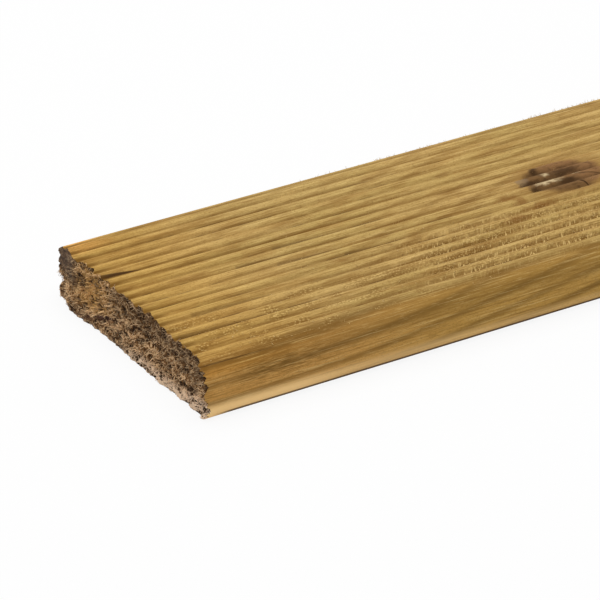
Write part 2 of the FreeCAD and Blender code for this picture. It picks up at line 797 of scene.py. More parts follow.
@dataclass(frozen=True)
class KnotFigure:
    """The knot that the reeding cuts through, with its halo, stains, pale and dark spots and cracks."""

    wood: Colour = srgb(112, 82, 48)
    red: Colour = srgb(134, 98, 62)
    dark: Colour = srgb(58, 38, 17)
    outline: Patch = Patch(245.5, 2.6, 23.0, 15.2)
    edge: Ease = Ease(1.06, 0.84)
    edge_ragged: float = 0.22
    ragged: Blotches = Blotches(3.6, 2.4, layers=3.0, roughness=0.65, cut=3.0)
    mottle: Blotches = Blotches(4.5, 2.6, layers=3.0, roughness=0.6, cut=7.0)
    reddening: Ease = Ease(240.0, 256.0)
    reddening_slant: float = 0.6
    dark_mottle: Ease = Ease(0.46, 0.7, end=0.5)
    # Painted shade in the grooves that run through the knot
    hollow_shade: Ease = Ease(0.35, 1.0, end=0.4)
    pale_mottle: Ease = Ease(0.64, 0.42, 0.2, 0.95)
    halo: Spots = Spots(srgb(150, 112, 62), Ease(1.6, 0.9, end=0.6), edge_ragged, (outline,))
    stains: Spots = Spots(srgb(122, 78, 31), Ease(1.7, 0.1, end=0.62), 2.4, (
        Patch(208.8, -3.3, 5.6, 2.8), Patch(212.3, -9.6, 3.2, 2.8), Patch(219.0, -17.8, 7.0, 2.0),
        Patch(201.4, -24.2, 6.0, 2.2)))
    smudge: Spots = Spots(srgb(128, 106, 80), Ease(1.1, 0.5, end=0.7), 1.0, (Patch(224.5, 7.0, 4.0, 4.0),))
    dark_spots: Spots = Spots(dark, Ease(1.5, 0.3, end=0.85), 1.4, (
        Patch(235.6, 13.4, 2.4, 3.6), Patch(248.5, 6.4, 10.0, 3.0), Patch(245.5, -2.6, 6.0, 2.2),
        Patch(228.0, 4.2, 6.0, 1.6), Patch(226.0, -3.6, 3.0, 2.6)))
    pale_spots: Spots = Spots(srgb(204, 182, 142), Ease(1.1, 0.1), 1.4, (
        Patch(235.5, 0.2, 10.0, 2.5), Patch(238.0, 7.6, 2.8, 2.4), Patch(252.5, 2.4, 3.6, 1.5)))
    cracks: tuple[Scratch, ...] = (Scratch((249.0, -4.6), (252.0, -12.5), 1.2, 1.0),
                                   Scratch((252.0, 1.0), (266.0, -4.0), 0.9, 0.6))

    def lay(self, place: Place, reed: Reed, colour: Wire) -> Wire:
        """Lays the knot over the wood.

        Args:
            place: Where the surface is.
            reed: Where it lies in the reeding.
            colour: The wood's colour.

        Returns:
            The colour with the knot in it.
        """
        tree = place.tree
        face = ON_FACE.mask(place)
        ragged = self.ragged.on_face(place) - 0.5
        mottle = self.mottle.on_face(place)
        colour = self.halo.lay(place, ragged, face, colour)
        colour = self.stains.lay(place, ragged, face, colour)

        aslant = place.along + place.across * self.reddening_slant
        inside = tree.blend(self.reddening.of(aslant), self.wood, self.red)
        inside = tree.blend(self.dark_mottle.of(mottle), inside, self.dark)
        # painted shade in the knot's grooves
        inside = tree.blend(self.hollow_shade.of(reed.sunk), inside, self.dark)
        edge = self.edge.of(self.outline.away(place) + ragged * self.edge_ragged)
        colour = tree.blend(edge * face, colour, inside)

        colour = self.smudge.lay(place, ragged, face, colour)
        colour = self.dark_spots.lay(place, ragged, face, colour)
        colour = self.pale_spots.lay(place, ragged, self.pale_mottle.of(mottle) * face, colour)
        for crack in self.cracks:
            colour = tree.blend(crack.mask(place), colour, self.dark)
        return colour


@dataclass(frozen=True)
class GrooveShade:
    """Painted shade in the grooves, darker in some of them and in some stretches, with fine open checks."""

    painted_groove_shade: Colour = srgb(110, 76, 26)
    sunk: Ease = Ease(0.2, 1.0)
    patch_rows: RowNoise = RowNoise(34.0, 3.7, layers=3.0, cut=2.0)
    patches: Ease = Ease(0.3, 0.62, 0.22, 0.85)
    faintest: float = 0.6
    differing: float = 0.5
    # The grooves fade out on the slant before the knot and come back far behind it.
    fade: Ease = Ease(120.0, 270.0, 1.0, 0.55)
    fade_end: Ease = Ease(300.0, 420.0)
    near_side: Region = Region(across=(Ease(-62.0, -30.0, 0.7, 1.0),))
    end_sunk: Ease = Ease(0.1, 0.7)
    end_rim: Region = Region((Ease(20.0, 6.0, end=0.85),), (Ease(-62.0, -58.0),))
    clean_edge: Region = Region((Ease(40.0, 22.0, end=0.8),), (Ease(-58.0, -62.0),))
    reeded: Ease = Ease(67.0, 65.5)
    check_sunk: Ease = Ease(0.82, 0.97)
    check_rows: RowNoise = RowNoise(21.0, 5.3, layers=3.0, cut=8.0)
    checks: Ease = Ease(0.52, 0.62, end=0.5)
    checked: Ease = Ease(62.0, 60.0)

    def lay(self, place: Place, reed: Reed, colour: Wire) -> Wire:
        """Darkens the grooves with painted shade.

        Args:
            place: Where the surface is.
            reed: Where it lies in the reeding.
            colour: The wood's colour.

        Returns:
            The colour.
        """
        tree = place.tree
        out = abs(place.across)
        patches = self.patches.of(self.patch_rows.at(place.along, reed))
        own = self.faintest + tree.chance(reed.number) * self.differing
        fade = self.fade.of(place.along + place.across).most(self.fade_end.of(place.along))
        # Painted shade: darker deeper in each groove, and in the grooves by the torn end
        dark = self.sunk.of(reed.sunk) * patches * own * fade * self.near_side.mask(place)
        rim = self.end_sunk.of(reed.sunk) * self.end_rim.mask(place)
        dark = (dark * (1.0 - self.clean_edge.mask(place))).most(rim).least(1.0)
        colour = tree.blend(dark * self.reeded.of(out), colour, self.painted_groove_shade)
        checks = self.checks.of(self.check_rows.at(place.along, reed))
        line = self.check_sunk.of(reed.sunk) * checks * self.checked.of(out) * fade
        return tree.blend(line, colour, CHECK)


@dataclass(frozen=True)
class TornRibs:
    """The ribs where the cutter tore the grain: chipped on their slopes, nicked and speckled."""

    busy: Region = Region((Ease(95.0, 160.0), Ease(380.0, 280.0)), (Ease(-68.0, -58.0), Ease(-6.0, -24.0)))
    near: Region = Region((Ease(3.0, 10.0), Ease(150.0, 90.0)), (Ease(-67.0, -62.0), Ease(-24.0, -38.0)))
    busy_speckle: float = 0.6
    patchy: Blotches = Blotches(17.0, 7.0, cut=4.0)
    # Chips and nicks lie aslant on a rib: they move on along it by this much from crest to crest.
    slant: float = 4.5
    chip_rows: RowNoise = RowNoise(3.4, 5.3, 1.6, layers=3.0, roughness=0.65)
    chip_change: float = 23.0
    nick_rows: RowNoise = RowNoise(0.9, 3.1, 2.6, roughness=0.6, cut=9.0)
    slope: tuple[Ease, Ease] = (Ease(-0.3, 0.0), Ease(0.48, 0.2))
    chips: Ease = Ease(0.38, 0.66)
    chip_strength: float = 0.46
    nicks: Ease = Ease(0.56, 0.66)
    nick_slope: Ease = Ease(-0.4, -0.2)
    nick_least: float = 0.3
    nick_patches: Ease = Ease(0.3, 0.55, 0.3, 0.8)
    speckle_length: float = 1.25
    speckle_breadth: float = 0.85
    speckle_patches: Ease = Ease(0.48, 0.6)
    dark_speckle: Ease = Ease(0.4, 0.65, end=0.5)
    pale_speckle: Ease = Ease(0.32, 0.14, end=0.75)

    def lay(self, place: Place, reed: Reed, colour: Wire) -> tuple[Wire, Wire]:
        """Chips, nicks and speckles the ribs.

        Args:
            place: Where the surface is.
            reed: Where it lies in the reeding.
            colour: The wood's colour.

        Returns:
            The colour, and how deeply the grain is torn.
        """
        tree = place.tree
        along, across, up = place
        face = ON_RIBS.mask(place)
        busy = self.busy.mask(place)
        patchy = self.patchy.on_face(place)

        lain = along - reed.turn * self.slant
        rise, fall = self.slope
        slope = rise.of(reed.turn) * fall.of(reed.turn) * face * busy
        torn = self.chips.of(self.chip_rows.at(lain, reed, along / self.chip_change)) * slope
        colour = tree.blend(torn * self.chip_strength, colour, PIT_AND_SHADE)
        nicks = self.nicks.of(self.nick_rows.at(lain, reed)) * self.nick_slope.of(reed.turn)
        lifted = nicks * slope.most(self.nick_least) * face * busy
        colour = tree.blend(lifted * self.nick_patches.of(patchy), colour, PALE_WOOD)

        breadth = self.speckle_breadth
        cells = tree.join(along / self.speckle_length, across / breadth, up / breadth)
        cell = tree.call("ShaderNodeTexVoronoi", {"Vector": cells, "Scale": 1.0}, output="Distance")
        where = (self.near.mask(place) + busy * self.busy_speckle).least(1.0)
        speckled = self.speckle_patches.of(patchy) * where * face
        colour = tree.blend(self.dark_speckle.of(cell) * speckled, colour, PIT_AND_SHADE)
        return tree.blend(self.pale_speckle.of(cell) * speckled, colour, PALE_WOOD), torn


@dataclass(frozen=True)
class FaceWood(Softwood):
    """Moulded, treated softwood: olive yellow with brown latewood, fine fibre, torn grain and one knot."""

    olive: Colour = srgb(183, 154, 91)
    straw: Colour = srgb(193, 160, 98)
    tan: Colour = srgb(171, 135, 76)
    late: Colour = srgb(134, 99, 47)
    stain: Colour = srgb(136, 100, 54)
    orange: Colour = srgb(242, 188, 112)
    warm: Colour = (1.0, 0.92, 0.74)
    side_end: Colour = srgb(200, 150, 80)
    side: Colour = srgb(190, 148, 75)
    side_late: Colour = srgb(98, 69, 25)
    foot: Colour = srgb(255, 214, 148)
    # Painted contact shadow along the bottom arrises
    painted_contact_shadow: Colour = srgb(70, 46, 30)
    # Noise, from broad tones to fine specks
    broad: Blotches = Blotches(90.0, 26.0)
    cloud: Blotches = Blotches(22.0, 7.0, layers=3.0)
    smudge: Blotches = Blotches(26.0, 4.5, layers=3.0, roughness=0.55, cut=7.0)
    streak: Blotches = Blotches(38.0, 0.75, layers=3.0, roughness=0.6)
    fibre: Blotches = Blotches(7.0, 0.45, roughness=0.65)
    speck: Blotches = Blotches(1.1, 0.6, roughness=0.7)
    # Parts with a tone of their own
    corner: Region = Region((Ease(34.0, 8.0, end=0.8),), (Ease(50.0, 62.0),))
    near_side: Region = Region(across=(Ease(-61.5, -67.0),))
    far_side: Region = Region(across=(Ease(69.0, 72.0),))
    side_change: Region = Region(along=(Ease(50.0, 150.0),))
    # Painted shade: the near top arris darkens as it turns away from the light
    arris: Region = Region((Ease(6.0, 36.0, 0.15, 1.0),), (Ease(-57.0, -67.0),),
                           (Ease(15.0, 24.0, end=0.45),))
    crest: Region = Region((Ease(56.0, 40.0),), (Bell(-58.0, 5.0),), (Ease(24.0, 26.0, end=0.55),))
    faded: tuple[Region, ...] = (
        Region((Bell(130.0, 40.0),), (Bell(52.0, 12.0),), (Ease(20.0, 24.0, end=0.22),)),
        Region((Bell(50.0, 25.0),), (Bell(-6.0, 12.0),), (Ease(20.0, 24.0, end=0.154),)))
    scored: Region = Region((Ease(14.0, 30.0), Ease(85.0, 45.0)), (Ease(-66.0, -71.0),), (Bell(18.5, 5.0),))
    warmed: Region = Region((Ease(95.0, 18.0),), up=(Ease(20.0, 24.0),))
    # Painted shade along the ragged torn edge of the top
    rim: Region = Region((Ease(10.0, 3.5, end=0.5),), up=(Ease(22.0, 25.0, 0.4, 1.0),))
    # The pale foot of the near side: paler wood, with painted light bounced up from the floor
    foot_part: Region = Region((Ease(85.0, 45.0, 0.55, 1.0), Ease(240.0, 100.0, 0.5, 1.0)),
                               (Ease(-60.0, -66.0),))
    foot_height: Ease = Ease(20.0, 220.0, 10.0, 8.0)
    foot_ragged: float = 4.0
    # Where the painted contact shadow lies: a thin band low on the bottom arrises
    contact_shadow_part: Region = Region((Ease(6.0, 18.0),), up=(Ease(3.4, 2.4), Ease(0.6, 1.2, end=0.9)))
    contact_shadow_edge: Ease = Ease(66.5, 69.0)
    relief: float = 0.25 * MM
    grooves: GrooveShade = GrooveShade()
    ribs: TornRibs = TornRibs()
    knot: KnotFigure = KnotFigure()
    checks: tuple[Scratch, ...] = (
        Scratch((2.0, 28.6), (25.0, 27.0), 1.6, 0.9), Scratch((4.0, -20.2), (12.0, -19.4), 1.4, 0.8),
        Scratch((24.0, -26.0), (64.0, -26.2), 1.9, 0.32), Scratch((8.0, -41.4), (60.0, -41.6), 1.9, 0.35),
        Scratch((64.0, 4.0), (100.0, 3.9), 1.6, 0.36), Scratch((88.0, 11.6), (124.0, 11.5), 1.6, 0.36),
        Scratch((82.0, -3.5), (116.0, -3.7), 1.6, 0.32), Scratch((114.0, -11.2), (138.0, -11.4), 1.6, 0.4),
        Scratch((2.5, -67.9), (40.0, -68.5), 0.75, 0.6),
    )

    def build(self) -> bpy.types.Material:
        """Makes the material.

        Returns:
            The material.
        """
        material, place = self.start("face_wood")
        reed = self.reeding(place)
        streak = self.streak.through(place)
        fibre = self.fibre.through(place)
        colour = self.grain(place, streak, fibre)
        colour = self.grooves.lay(place, reed, colour)
        colour, torn = self.ribs.lay(place, reed, colour)
        colour = self.knot.lay(place, reed, colour)
        for check in self.checks:
            colour = place.tree.blend(check.mask(place), colour, CHECK)
        colour = self.edges(place, fibre, colour)
        height = fibre * 0.4 + streak * 0.4 - torn * 1.6
        self.finish(colour, streak.step(0.2, 0.8, 0.6, 0.8), height, self.relief)
        return material

    def reeding(self, place: Place) -> Reed:
        """Finds where each point lies in the reeding.

        Args:
            place: Where the surface is.

        Returns:
            The place in the reeding.
        """
        share = place.across / (self.section.pitch / MM)
        number = share.one("FLOOR")
        sunk = (self.section.thickness / MM - place.up) / (self.section.depth / MM)
        return Reed(number, share - number - 0.5, sunk * place.up.step(20.0, 24.0))

    def grain(self, place: Place, streak: Wire, fibre: Wire) -> Wire:
        """Lays broad tones, growth rings, streaks and fibre, and painted shade on the near top arris.

        Args:
            place: Where the surface is.
            streak: Noise drawn out along the board.
            fibre: Finer noise drawn out along the board.

        Returns:
            The colour.
        """
        tree = place.tree
        cloud = self.cloud.through(place)
        smudge = self.smudge.on_face(place)
        speck = self.speck.through(place)
        late = self.rings.latewood(place)
        colour = tree.blend(self.broad.through(place).step(0.35, 0.65), self.olive, self.straw)
        colour = tree.blend(cloud.step(0.42, 0.72, end=0.75), colour, self.tan)
        colour = tree.blend(smudge.step(0.56, 0.74, end=0.6), colour, self.stain)
        colour = self.corner.lay(place, colour, self.orange)
        colour = tree.blend(late * cloud.step(0.3, 0.6, 0.1, 0.6), colour, self.late)

        side = tree.blend(self.side_change.mask(place), self.side_end, self.side)
        side = tree.blend(late * cloud.step(0.25, 0.5, 0.6, 1.0), side, self.side_late)
        colour = tree.blend(self.near_side.mask(place) + self.far_side.mask(place), colour, side)

        # painted shade on the near top arris
        colour = self.arris.lay(place, colour, self.side_late)
        colour = self.crest.lay(place, colour, self.tan)
        for faded in self.faded:
            colour = faded.lay(place, colour, PALE_WOOD)
        scored = self.scored.mask(place) * fibre.step(0.42, 0.6, end=0.8)
        colour = tree.blend(scored, colour, self.side_late)

        figure = ((streak.step(0.5, 0.7, end=0.65), self.late),
                  (streak.step(0.46, 0.27, end=0.5), PALE_WOOD),
                  (fibre.step(0.5, 0.72, end=0.55), self.late),
                  (fibre.step(0.45, 0.3, end=0.25), PALE_WOOD),
                  (speck.step(0.5, 0.7, end=0.45), self.late))
        for share, tone in figure:
            colour = tree.blend(share, colour, tone)
        return tree.blend(self.warmed.mask(place), colour, self.warm, mode="MULTIPLY")

    def edges(self, place: Place, fibre: Wire, colour: Wire) -> Wire:
        """Paints shade on the torn rim and bottom arrises; pales the near foot, partly as bounce light.

        Args:
            place: Where the surface is.
            fibre: Fine noise drawn out along the board.
            colour: The wood's colour.

        Returns:
            The colour.
        """
        tree = place.tree
        # painted shade along the torn top edge
        colour = tree.blend(self.rim.mask(place) * fibre.step(0.25, 0.65), colour, PIT_AND_SHADE)
        # pale foot: partly painted light bounced from the floor
        reach = self.foot_height.of(place.along) + (fibre - 0.5) * self.foot_ragged
        foot = place.up.step(reach, reach * 0.5) * self.foot_part.mask(place)
        colour = tree.blend(foot, colour, self.foot)
        # painted contact shadow along the bottom arrises
        painted_contact_shadow = self.contact_shadow_part.mask(place) * self.contact_shadow_edge.of(abs(place.across))
        return tree.blend(painted_contact_shadow, colour, self.painted_contact_shadow)


@dataclass(frozen=True)
class TornEnd:
    """The parts of the torn end, which its shape, its finish and its fibres all follow."""

    slope: Region = Region(across=(Bell(36.0, 14.0),), up=(Ease(6.0, 13.0), Ease(27.0, 20.0, 0.5, 1.0)))
    corner: Region = Region(across=(Ease(46.0, 56.0),), up=(Ease(11.0, 17.0),))
    brow: Region = Region(across=(Ease(24.0, 8.0),), up=(Ease(13.0, 23.0, end=0.4),))
    foot_edge: Ease = Ease(9.0, 2.0)
    foot_far_drop: Ease = Ease(-12.0, 14.0, end=6.0)
    foot_near_rise: Ease = Ease(-46.0, -68.0, end=4.0)
    split_middle: tuple[float, float] = (35.0, 4.4)
    split_fall: float = 0.36
    split_breadth: Bell = Bell(0.0, 1.3)
    split_length: Bell = Bell(26.0, 14.0)
    lump: Blotches = Blotches(5.5, 3.6, layers=3.0, roughness=0.55, cut=2.0)

    def foot(self, place: Place) -> Wire:
        """Gives the pale foot, which is lower on the far half and higher at the near side."""
        shift = self.foot_far_drop.of(place.across) - self.foot_near_rise.of(place.across)
        return self.foot_edge.of(place.up + shift)

    def split(self, place: Place) -> Wire:
        """Draws the split that runs aslant through the torn end.

        Args:
            place: Where the surface is.

        Returns:
            From 0 beside the split to 1 in its middle.
        """
        across, up = self.split_middle
        aslant = place.up - up + (place.across - across) * self.split_fall
        return self.split_breadth.of(aslant) * self.split_length.of(place.across)

    def lumps(self, place: Place) -> Wire:
        """Gives the lumps of the torn end, which stand proud and are painted pale as if lit, as noise from
        0 to 1.
        """
        return self.lump.on_end(place)


@dataclass(frozen=True)
class TornEndGrain(Softwood):
    """The rough end a blunt saw tore: grey-brown, painted with shade in its hollows and light on its lumps.
    """

    brown: Colour = srgb(134, 97, 60)
    dark: Colour = srgb(52, 35, 22)
    pale: Colour = srgb(238, 200, 152)
    tan: Colour = srgb(206, 160, 94)
    pink: Colour = srgb(255, 224, 192)
    # The split's smooth torn face, painted in shade
    painted_split_shade: Colour = srgb(112, 84, 74)
    corner_share: float = 0.7
    fine: Blotches = Blotches(1.4, 1.3, 1.1, layers=3.0, roughness=0.65)
    roughness: float = 0.85
    relief: float = 0.8 * MM
    end: TornEnd = TornEnd()

    def build(self) -> bpy.types.Material:
        """Makes the material.

        Returns:
            The material.
        """
        material, place = self.start("torn_end_grain")
        tree = place.tree
        end = self.end
        # Half the lumps, as painted shade in the hollows and painted light on the lumps; half the wood's
        # own mottle
        mixed = self.fine.through(place) * 0.5 + end.lumps(place) * 0.5
        colour = tree.blend(mixed.step(0.42, 0.54), self.dark, self.brown)
        colour = tree.blend(mixed.step(0.53, 0.62, end=0.9), colour, self.pale)
        colour = end.brow.lay(place, colour, self.dark)
        colour = tree.blend(end.slope.mask(place) * mixed.step(0.4, 0.54, end=0.75), colour, self.tan)
        # the split's smooth face, painted in shade
        colour = tree.blend(end.split(place), colour, self.painted_split_shade)
        colour = tree.blend(end.foot(place) * mixed.step(0.45, 0.54, end=0.95), colour, self.pink)
        colour = tree.blend(end.corner.mask(place) * self.corner_share, colour, GREY_CORNER)
        self.finish(colour, self.roughness, mixed, self.relief)
        return material


@dataclass(frozen=True)
class SawnEndGrain(Softwood):
    """The clean far end: growth rings in section, under fine saw marks."""

    pale: Colour = srgb(186, 150, 98)
    late: Colour = srgb(124, 86, 50)
    late_share: float = 0.85
    pore: Blotches = Blotches(1.0, 0.5)
    mark_width: float = 1.2
    mark_slant: float = 14.0
    mark_length: float = 40.0
    roughness: float = 0.8
    relief: float = 0.2 * MM

    def build(self) -> bpy.types.Material:
        """Makes the material.

        Returns:
            The material.
        """
        material, place = self.start("sawn_end_grain")
        tree = place.tree
        along, across, up = place
        pore = self.pore.through(place)
        aslant = across / self.mark_width + up / self.mark_slant
        marks = tree.noise(along, aslant, up / self.mark_length, layers=1.0)
        colour = tree.blend(self.rings.latewood(place) * self.late_share, self.pale, self.late)
        colour = tree.blend(pore.step(0.5, 0.8, end=0.5), colour, self.late)
        self.finish(colour, self.roughness, marks * 0.7 + pore * 0.5, self.relief)
        return material


@dataclass(frozen=True)
class LooseFibre:
    """Torn fibres and slivers, each of its own shade between two colours."""

    name: str
    dark: Colour
    pale: Colour
    attribute: str = "shade"
    mottle: Blotches = Blotches(1.0, 1.0)
    mottle_share: float = 0.2
    contrast: Ease = Ease(0.15, 0.85)
    roughness: float = 0.8
    shine: float = 0.15

    def build(self) -> bpy.types.Material:
        """Makes the material.

        Returns:
            The material.
        """
        material, tree = new_material(self.name)
        x, y, z = tree.split(tree.call("ShaderNodeTexCoord", [], output="Object"))
        place = Place(x / MM, y / MM, z / MM)
        own = tree.call("ShaderNodeAttribute", [], output="Fac", attribute_name=self.attribute)
        mixed = own * (1.0 - self.mottle_share) + self.mottle.through(place) * self.mottle_share
        values = {"Base Color": self.tint(place, self.contrast.of(mixed)), "Roughness": self.roughness,
                  "Specular IOR Level": self.shine}
        tree.surface(tree.call("ShaderNodeBsdfPrincipled", values))
        return material

    def tint(self, place: Place, shade: Wire) -> Wire:
        """Colours each sliver by its shade, from 0 for dark to 1 for pale."""
        return place.tree.blend(shade, self.dark, self.pale)


@dataclass(frozen=True)
class TornFibre(LooseFibre):
    """Fibres of the torn end, which take the colours of the parts that they stand on."""

    tan: Colour = srgb(218, 170, 102)
    pink: Colour = srgb(255, 228, 198)
    tan_share: Ease = Ease(0.2, 0.8, 0.1, 0.85)
    pink_share: Ease = Ease(0.28, 0.6, end=0.95)
    corner_share: float = 0.75
    end: TornEnd = TornEnd()

    def tint(self, place: Place, shade: Wire) -> Wire:
        """Colours each sliver by its shade and by its place on the torn end.

        Args:
            place: Where the surface is.
            shade: From 0 for dark to 1 for pale.

        Returns:
            The colour.
        """
        tree = place.tree
        end = self.end
        colour = tree.blend(shade * (1.0 - end.brow.mask(place)), self.dark, self.pale)
        colour = tree.blend(end.slope.mask(place) * self.tan_share.of(shade), colour, self.tan)
        colour = tree.blend(end.foot(place) * self.pink_share.of(shade), colour, self.pink)
        return tree.blend(end.corner.mask(place) * self.corner_share, colour, GREY_CORNER)


@dataclass(frozen=True)
class Zone:
    """A stretch of the board with an even spacing of mesh lines."""

    size: float
    lines: int


@dataclass(frozen=True)
class Bulge:
    """A part of the end that is torn deeper than the rest, or less deep if the depth is negative."""

    depth: float
    region: Region


@dataclass(frozen=True)
class Tear:
    """How deep the saw tore the near end, in millimetres: bulges, a split, and lumps of three sizes."""

    base: float = 1.55
    least: float = 0.1
    high: Ease = Ease(6.0, 22.0)
    low: Ease = Ease(22.0, 6.0)
    # The top edge: deep between the corners, and deepest in a bay
    crown: Bulge = Bulge(2.2, Region(across=(Ease(54.0, 38.0), Ease(-71.0, -62.0)), up=(high,)))
    bay: Bulge = Bulge(1.6, Region(across=(Bell(-18.0, 17.0),), up=(high,)))
    # The bottom edge: deep at the near side, and proud at the far one
    near_toe: Bulge = Bulge(1.3, Region(across=(Ease(-25.0, -50.0),), up=(low,)))
    far_toe: Bulge = Bulge(-2.4, Region(across=(Bell(50.0, 15.0),), up=(low,)))
    # The slope of the far half, which is deep above a ledge and comes forward again at the top
    ledge: Bulge = Bulge(3.0, Region(across=(Bell(42.0, 14.0),), up=(Ease(9.0, 13.5),)))
    lip: Bulge = Bulge(-3.0, Region(across=(Bell(42.0, 14.0),), up=(high,)))
    # The far corner, and the notch low in it
    flank: Bulge = Bulge(2.4, Region(across=(Ease(53.0, 64.0),), up=(Ease(0.0, 8.0, 0.6, 1.0),)))
    notch: Bulge = Bulge(2.4, Region(across=(Ease(60.0, 68.0),), up=(Bell(6.8, 3.0),)))
    split: float = 3.2
    near_edge: Ease = Ease(-62.0, -70.0, end=3.0)
    near_edge_noise: Blotches = Blotches(5.0, 2.6, roughness=0.6)
    broad: float = 0.9
    broad_noise: Blotches = Blotches(16.0, 10.0, layers=1.0)
    lump: Ease = Ease(0.7, 0.3, end=1.5)
    fine: float = 0.9
    fine_noise: Blotches = Blotches(1.7, 1.5, layers=1.0, roughness=0.6)
    end: TornEnd = TornEnd()

    def depth(self, place: Place, seed: Wire) -> Wire:
        """Gives the depth of the tear.

        Args:
            place: Where the surface is.
            seed: Shifts the lumps.

        Returns:
            The depth in millimetres.
        """
        depth = self.end.split(place) * self.split + self.base
        for bulge in (self.crown, self.bay, self.near_toe, self.far_toe, self.ledge, self.lip, self.flank,
                      self.notch):
            depth = depth + bulge.region.mask(place) * bulge.depth
        ragged = self.near_edge_noise.on_end(place, seed * 9.0).step(0.3, 0.7) - 0.5
        depth = depth + ragged * self.near_edge.of(place.across)
        depth = depth + self.broad_noise.on_end(place, seed * 3.0) * self.broad
        depth = depth + self.lump.of(self.end.lumps(place))
        depth = depth + self.fine_noise.on_end(place, seed * 7.0) * self.fine
        return depth.most(self.least)


@dataclass
class Board:
    """The board itself: one closed mesh whose section and torn end follow rules."""

    section: Section
    tear: Tear = Tear()
    tear_fade: float = 12.0
    torn: Zone = Zone(12.0 * MM, 18)
    plain: Zone = Zone(110.0 * MM, 22)
    busy: Zone = Zone(150.0 * MM, 76)
    far: Zone = Zone(6.0 * MM, 2)
    rest_lines: int = 30
    rib_lines: int = 10
    edge_lines: int = 6
    height_lines: int = 44
    seed: int = 4

    def along_zones(self) -> list[Zone]:
        """Spaces the mesh lines along the board, closest at the torn end and at the knot.

        Returns:
            The stretches from the torn end on.
        """
        taken = sum(zone.size for zone in (self.torn, self.plain, self.busy, self.far))
        rest = Zone(self.section.length - taken, self.rest_lines)
        return [self.torn, self.plain, self.busy, rest, self.far]

    def across_zones(self) -> list[Zone]:
        """Spaces the mesh lines across the board, so that every groove has the same ones.

        Returns:
            The stretches from the near side on.
        """
        ribs = self.section.grooves * self.section.pitch
        edge = Zone((self.section.width - ribs) / 2, self.edge_lines)
        return [edge, Zone(ribs, self.section.grooves * self.rib_lines), edge]

    @staticmethod
    def lay_out(share: Wire, zones: Sequence[Zone]) -> Wire:
        """Turns an even share from 0 to 1 into a place with each zone's own spacing.

        Args:
            share: The even share.
            zones: The stretches in order.

        Returns:
            The place, from half the whole size below zero to half above.
        """
        total = sum(zone.lines for zone in zones)
        place: Wire | float = -sum(zone.size for zone in zones) / 2
        done = 0
        for zone in zones:
            low, high = done / total, (done + zone.lines) / total
            place = share.tree.call("ShaderNodeMapRange", [share, low, high, 0.0, zone.size]) + place
            done += zone.lines
        return place

    def build(self, face: bpy.types.Material, torn: bpy.types.Material,
              sawn: bpy.types.Material) -> bpy.types.Object:
        """Makes the board.

        Args:
            face: Finish of the long faces.
            torn: Finish of the torn end.
            sawn: Finish of the far end.

        Returns:
            The board's object.
        """
        recipe = Recipe("decking_board", self.seed)
        tree = recipe.tree
        thickness = recipe.input("Thickness", self.section.thickness)
        face_slot = recipe.input("Face Wood", face, SocketKind.MATERIAL)
        torn_slot = recipe.input("Torn End", torn, SocketKind.MATERIAL)
        sawn_slot = recipe.input("Sawn End", sawn, SocketKind.MATERIAL)

        along_zones, across_zones = self.along_zones(), self.across_zones()
        lines = [sum(zone.lines for zone in zones) for zones in (along_zones, across_zones)]
        counts = [count + 1 for count in (*lines, self.height_lines)]
        geometry = tree.call("GeometryNodeMeshCube", [(1.0, 1.0, 1.0), *counts])
        facing = tree.split(tree.call("GeometryNodeInputNormal", []))[0]
        geometry = recipe.store(geometry, TORN_END, -facing, "FACE")

        share_x, share_y, share_z = recipe.position()
        along = self.lay_out(share_x + 0.5, along_zones)
        across = self.lay_out(share_y + 0.5, across_zones)
        up = (share_z + 0.5) * self.top_height(recipe, across, thickness)
        across, up = self.round_edges(recipe, across, up)
        along = self.tear_end(recipe, along, across, up)
        values = {"Geometry": geometry, "Position": tree.join(along, across, up)}
        geometry = tree.call("GeometryNodeSetPosition", values)

        end = recipe.attribute(TORN_END)
        rim = tree.math("COMPARE", abs(end), 0.5, 0.2)
        geometry = tree.call("GeometryNodeSetShadeSmooth", {"Geometry": geometry, "Shade Smooth": True})
        values = {"Geometry": geometry, "Selection": rim, "Shade Smooth": False}
        geometry = tree.call("GeometryNodeSetShadeSmooth", values, domain="EDGE")
        geometry = tree.call("GeometryNodeRealizeInstances", [geometry])
        geometry = tree.call("GeometryNodeSetMaterial", {"Geometry": geometry, "Material": face_slot})
        for sign, slot in ((1.0, torn_slot), (-1.0, sawn_slot)):
            chosen = tree.math("GREATER_THAN", end * sign, 0.5)
            values = {"Geometry": geometry, "Selection": chosen, "Material": slot}
            geometry = tree.call("GeometryNodeSetMaterial", values)
        return recipe.run(geometry)

    def top_height(self, recipe: Recipe, across: Wire, thickness: Wire) -> Wire:
        """Gives the height of the walking face: ribs and grooves, then the lower arris beside them.

        Args:
            recipe: The board's recipe.
            across: Place across the board.
            thickness: The board's thickness.

        Returns:
            The height above the underside.
        """
        arris_start = recipe.input("Arris Start", self.section.arris_start)
        arris_middle = recipe.input("Arris Middle", self.section.arris_middle)
        reeded = thickness - self.groove_drop(recipe, across)
        inward = (arris_middle - abs(across)).most(0.0)
        radius = self.section.top_arris
        rolled = (radius**2 - inward.squared()).most(0.0).one("SQRT") + (self.section.arris_top - radius)
        chosen = recipe.tree.math("LESS_THAN", abs(across), arris_start)
        return chosen * reeded + (1.0 - chosen) * rolled

